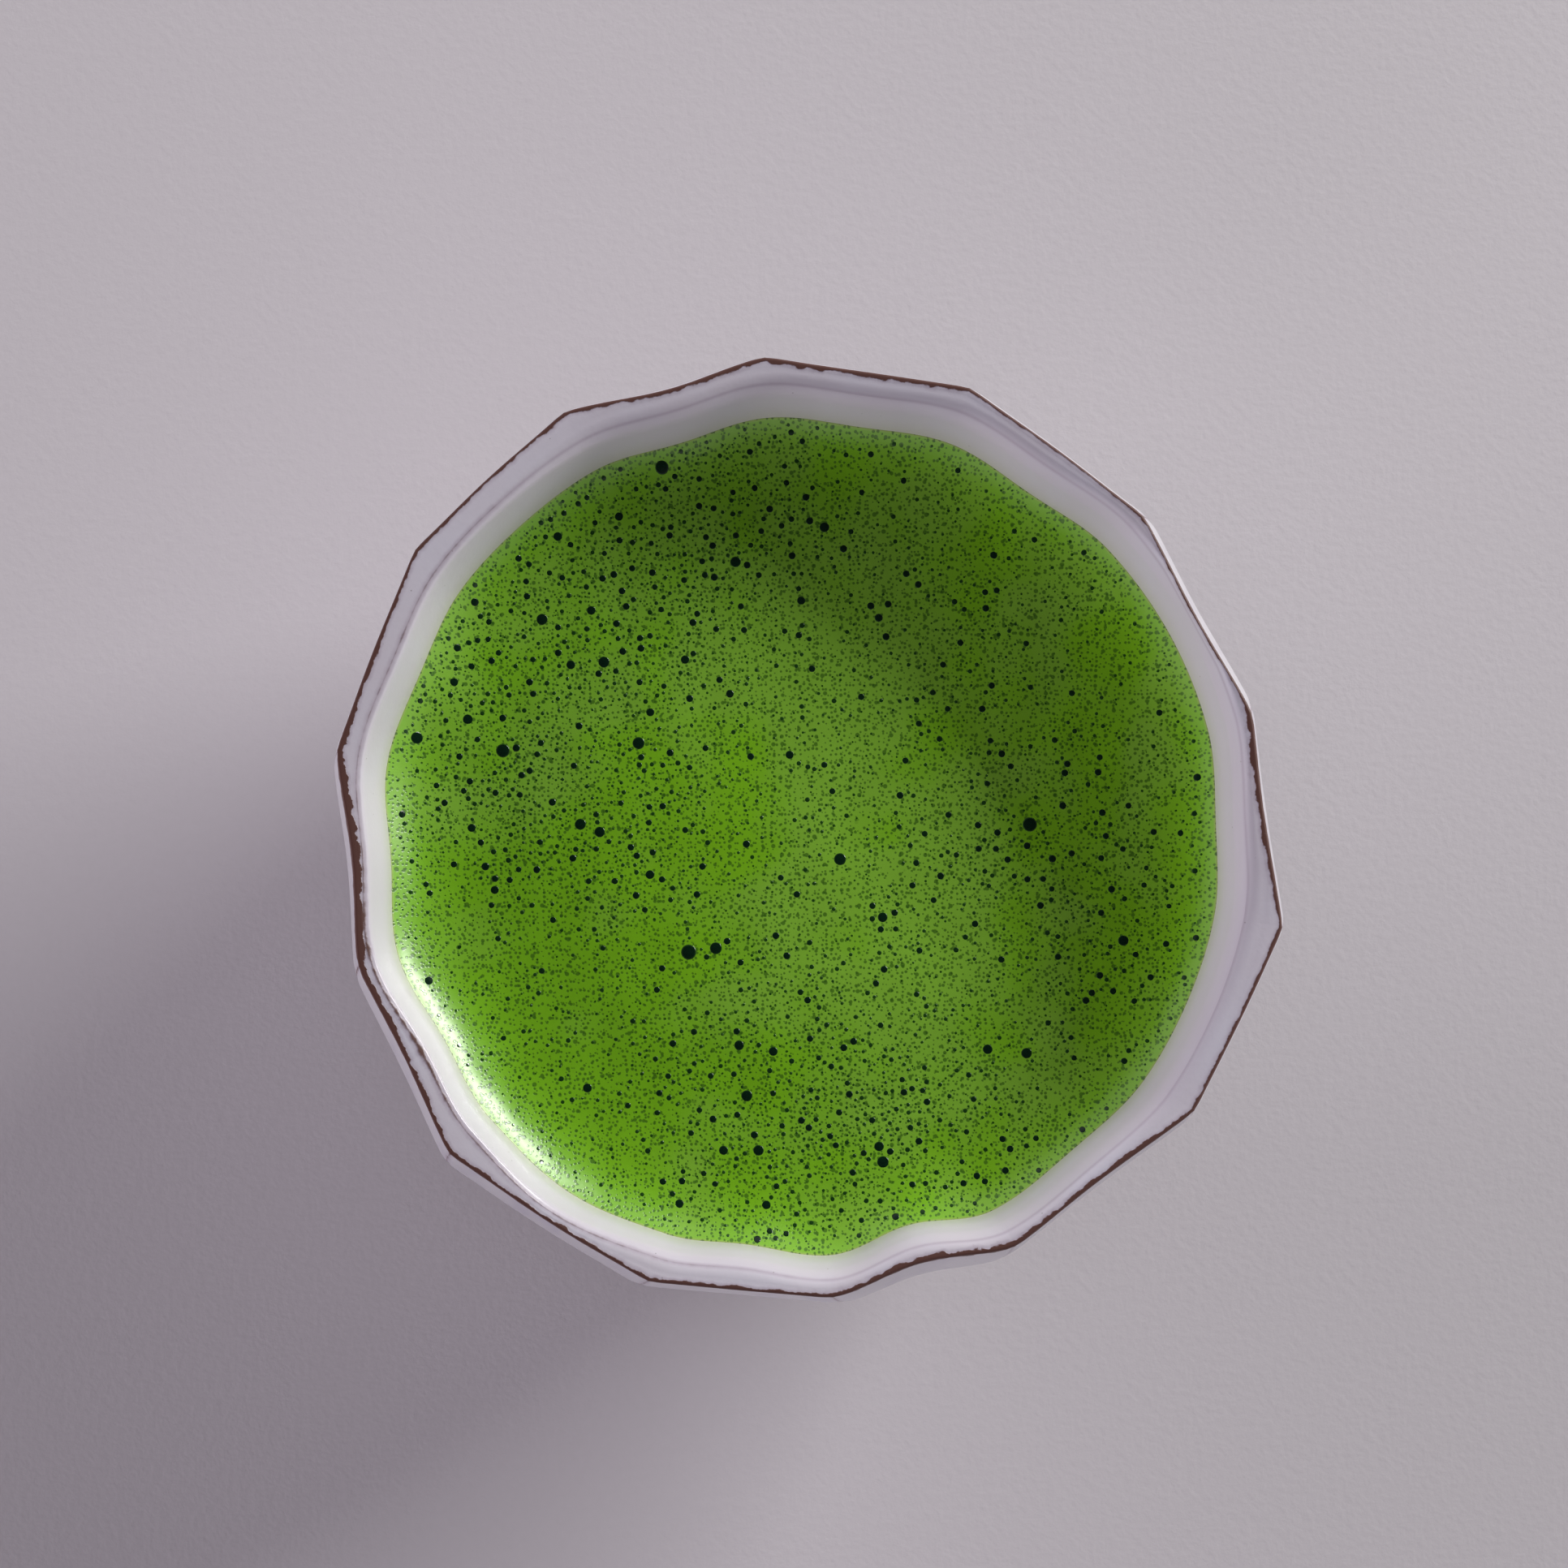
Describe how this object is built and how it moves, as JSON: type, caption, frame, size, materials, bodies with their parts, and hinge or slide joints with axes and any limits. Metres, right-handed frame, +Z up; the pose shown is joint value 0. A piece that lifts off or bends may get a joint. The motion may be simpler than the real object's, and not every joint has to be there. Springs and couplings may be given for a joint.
{
  "type": "matcha bowl",
  "caption": "Faceted stoneware tea bowl with a flat-topped lip and a round foot ring, glazed inside and out, filled with frothy whisked green tea.",
  "frame": {"origin": "centre of the foot ring's resting face, on the axis that the bowl was thrown on", "axes": "+Z up along the bowl's axis, out of its mouth; +X towards the facet that was cut at 8 degrees; +Y completes a right-handed frame"},
  "size_m": [0.1223, 0.1218, 0.068],
  "materials": {
    "clay": "matte",
    "inside_glaze": "satin",
    "outside_glaze": "satin",
    "tea": "gloss",
    "foam": "satin"
  },
  "bodies": {
    "root": {"stoneware_body": "clay", "inside_glaze": "inside_glaze", "outside_glaze": "outside_glaze", "tea_liquid": "tea", "tea_foam": "foam"}
  },
  "joints": []
}
